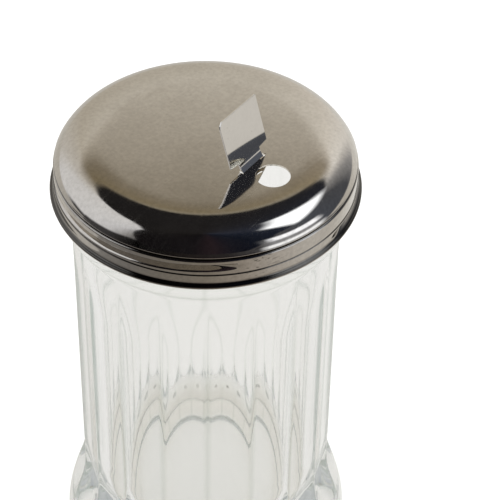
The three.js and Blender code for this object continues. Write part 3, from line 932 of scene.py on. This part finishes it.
def build_world():
    world = bpy.data.worlds.new("studio")
    scene.world = world
    nodes = Nodes(world)
    calc, mix = nodes.calc, nodes.mix

    generated = nodes.add("TexCoord").outputs["Generated"]
    turned = nodes.add(
        "Mapping",
        {"Vector": generated, "Rotation": (0, 0, -CAMERA_AZIMUTH)},
        vector_type="VECTOR",
    )
    x, y, z = nodes.xyz(turned.outputs[0])
    azimuth = calc("MULTIPLY", calc("ARCTAN2", y, x), 180 / math.pi)
    elevation = calc("MULTIPLY", calc("ARCSINE", z), 180 / math.pi)
    azimuth_share = calc("MULTIPLY_ADD", azimuth, 1 / 360, 0.5)
    elevation_share = calc("MULTIPLY_ADD", elevation, 1 / 180, 0.5)

    def by_azimuth(table):
        return nodes.ramp(azimuth_share, [((deg + 180) / 360, value) for deg, value in table])

    def by_elevation(table):
        return nodes.ramp(elevation_share, [((deg + 90) / 180, value) for deg, value in table])

    def outline(table):
        """An elevation that changes with azimuth; the ramp holds hundreds of degrees."""
        return calc("MULTIPLY", by_azimuth([(deg, e / 100) for deg, e in table]), 100.0)

    def edge(value, at, soft):
        """0 below at, 1 above it, soft degrees wide."""
        return calc("MULTIPLY_ADD", calc("SUBTRACT", value, at), 1 / soft, 0.5, clamp=True)

    def within(distance, half, soft):
        """1 while the distance is less than half, with a soft edge."""
        spare = calc("SUBTRACT", half, calc("ABSOLUTE", distance))
        return calc("ADD", calc("DIVIDE", spare, soft), 0.5, clamp=True)

    def window(offset, middle, half, soft):
        """1 in a window round azimuth offset 0 and elevation middle; half and soft are
        (azimuth, elevation)."""
        rise = calc("SUBTRACT", elevation, middle)
        sideways = within(offset, half[0], soft[0])
        return calc("MULTIPLY", sideways, within(rise, half[1], soft[1]))

    def patch(at, half, soft):
        offset = calc("WRAP", calc("SUBTRACT", azimuth, at[0]), 180, -180)
        return window(offset, at[1], half, soft)

    def slant(at, slope, half, soft):
        """A bar that falls by slope for every degree of growing azimuth."""
        offset = calc("SUBTRACT", azimuth, at[0])
        return window(offset, calc("MULTIPLY_ADD", offset, -slope, at[1]), half, soft)

    # walls: a big pale screen to the left, a warm wall behind, dark towards the viewer
    walls = by_azimuth(WALLS)
    # the wall behind fades as it rises
    behind = calc(
        "MULTIPLY",
        edge(azimuth, 58, soft=16),
        edge(calc("MULTIPLY", azimuth, -1.0), -124, soft=16),
    )
    low = mix(behind, walls, nodes.multiply(walls, by_elevation(BACK_WALL_FADE)))
    # the screen ends above a dark foot
    over_foot = calc("SUBTRACT", elevation, outline(SCREEN_FOOT))
    foot = calc(
        "MULTIPLY",
        calc("SUBTRACT", 1.0, edge(over_foot, 0, soft=6)),
        patch(at=(196, 0), half=(34, 90), soft=(12, 10)),
    )
    low = nodes.multiply(low, mix(foot, (1.0, 1.0, 1.0), (0.07, 0.068, 0.068)))
    above = edge(calc("SUBTRACT", elevation, outline(WALL_TOP)), 0.0, soft=2.0)
    room = mix(above, low, by_azimuth(CEILING))

    # a high softbox at the right
    softbox = patch(at=(14, 56.5), half=(24, 12), soft=(8, 6))
    room = mix(softbox, room, (1.82, 1.93, 2.10))
    # a dim slanted glow at the right towards the viewer, and two bright bars over it
    glow = slant(at=(-27, 15), slope=0.35, half=(20, 17), soft=(10, 12))
    room = mix(glow, room, (0.34, 0.35, 0.38))
    upper_bar = slant(at=(-23, 26.5), slope=0.37, half=(19, 6.2), soft=(7, 4))
    room = mix(upper_bar, room, (1.50, 1.57, 1.72))
    lower_bar = slant(at=(-27, 6.8), slope=0.24, half=(23, 4.0), soft=(8, 3.5))
    room = mix(lower_bar, room, (1.36, 1.42, 1.52))
    # below the horizon: the paper, darker near the viewer
    room = mix(edge(elevation, -1.0, soft=3.0), by_azimuth(PAPER), room)

    # only reflections see the room; the camera and the glass see plain backdrops
    ray = nodes.add("LightPath").outputs
    not_through = calc("SUBTRACT", 1.0, ray["Is Transmission Ray"])
    glossy = calc("MULTIPLY", ray["Is Glossy Ray"], not_through)
    plain = mix(ray["Is Camera Ray"], (1.0, 1.0, 1.0), by_elevation(BACKDROP))
    seen = mix(ray["Is Transmission Ray"], plain, by_elevation(THROUGH_GLASS))
    background = {"Color": mix(glossy, seen, room), "Strength": 1.0}
    nodes.add("OutputWorld", {"Surface": nodes.add("Background", background).outputs[0]})


# ------------------------------------------------------------------ floor, lights and camera
LIGHT_TARGET = Vector((0, 0, 0.07))
LIGHT_DISTANCE = 0.9
CAMERA_TARGET = Vector((0, 0, 0.0975))
CAMERA_DISTANCE = 0.500
CAMERA_ELEVATION, CAMERA_ROLL = rad(42.3), rad(1.15)
CAMERA_AIM_RIGHT = 0.01084813  # the aim passes this far to the right of the target


def build_floor():
    bpy.ops.mesh.primitive_plane_add(size=8, location=(0, 0, -0.0002))
    floor = bpy.context.object
    floor.name = "floor"
    floor.data.materials.append(floor_pale())
    floor.visible_glossy = False


def look_at(thing, target):
    thing.rotation_mode = "QUATERNION"
    thing.rotation_quaternion = (thing.location - target).to_track_quat("Z", "Y")


def area_light(name, azimuth, elevation, size, power):
    """A square lamp; its azimuth is in degrees from the viewer's right, as in the world."""
    data = bpy.data.lights.new(name, "AREA")
    data.shape = "SQUARE"
    data.size = size
    data.energy = power
    lamp = add_object(name, data)
    a, e = rad(azimuth) + CAMERA_AZIMUTH, rad(elevation)
    direction = Vector((cos(a) * cos(e), sin(a) * cos(e), sin(e)))
    lamp.location = LIGHT_TARGET + direction * LIGHT_DISTANCE
    look_at(lamp, LIGHT_TARGET)
    lamp.visible_glossy = False
    lamp.visible_transmission = False
    lamp.visible_camera = False


def build_camera():
    data = bpy.data.cameras.new("camera")
    data.sensor_width = 36.0
    data.lens = 146.016
    data.clip_start = 0.01
    data.clip_end = 20
    camera = add_object("camera", data)
    scene.camera = camera
    a, e = CAMERA_AZIMUTH, CAMERA_ELEVATION
    right = Vector((cos(a), sin(a), 0))
    towards_viewer = Vector((sin(a) * cos(e), -cos(a) * cos(e), sin(e)))
    camera.location = CAMERA_TARGET + towards_viewer * CAMERA_DISTANCE
    look_at(camera, CAMERA_TARGET + right * CAMERA_AIM_RIGHT)
    roll = Quaternion((0, 0, 1), CAMERA_ROLL)
    camera.rotation_quaternion = camera.rotation_quaternion @ roll


def set_render():
    scene.view_settings.view_transform = "Standard"
    scene.view_settings.look = "None"
    cycles = scene.cycles
    cycles.max_bounces = 24
    cycles.transmission_bounces = 20
    cycles.glossy_bounces = 8
    cycles.transparent_max_bounces = 16
    cycles.caustics_reflective = False
    cycles.caustics_refractive = False


# ------------------------------------------------------------------ assembly
jar = build_jar()
lid = build_lid()
flap = build_flap()
ring = build_ring()

lid_steel = steel(
    "lid_steel",
    bright=(0.66, 0.63, 0.585),
    dull=(0.615, 0.585, 0.54),
    scratch_scale=6.0,
    roughness=(0.045, 0.095),
    grain=0.085,
    # painted shade in the lid's creases, and a patch of dark nicks on the skirt
    shade_and_nicks=crease_shade_and_nicks,
)
flap_steel = steel(
    "flap_steel",
    bright=(0.89, 0.865, 0.82),
    dull=(0.83, 0.805, 0.765),
    scratch_scale=9.0,
    roughness=(0.035, 0.07),
    grain=0.02,
)

for piece, look, body, cad_piece, slot in (
    (jar, clear_glass(), "jar", "glass_jar", "glass"),
    (lid, lid_steel, "lid", "lid_shell", "lid_steel"),
    (flap, flap_steel, "flap", "pour_flap", "flap_steel"),
    (ring, soft_ring(), "ring", "seal_ring", "ring_liner"),
):
    piece.data.materials.clear()
    piece.data.materials.append(look)
    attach(piece, body)
    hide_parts(cad_piece)

build_floor()
build_world()
area_light("key_left", azimuth=170, elevation=45, size=0.6, power=3.0)
area_light("key_right", azimuth=10, elevation=50, size=0.5, power=2.0)
build_camera()
set_render()
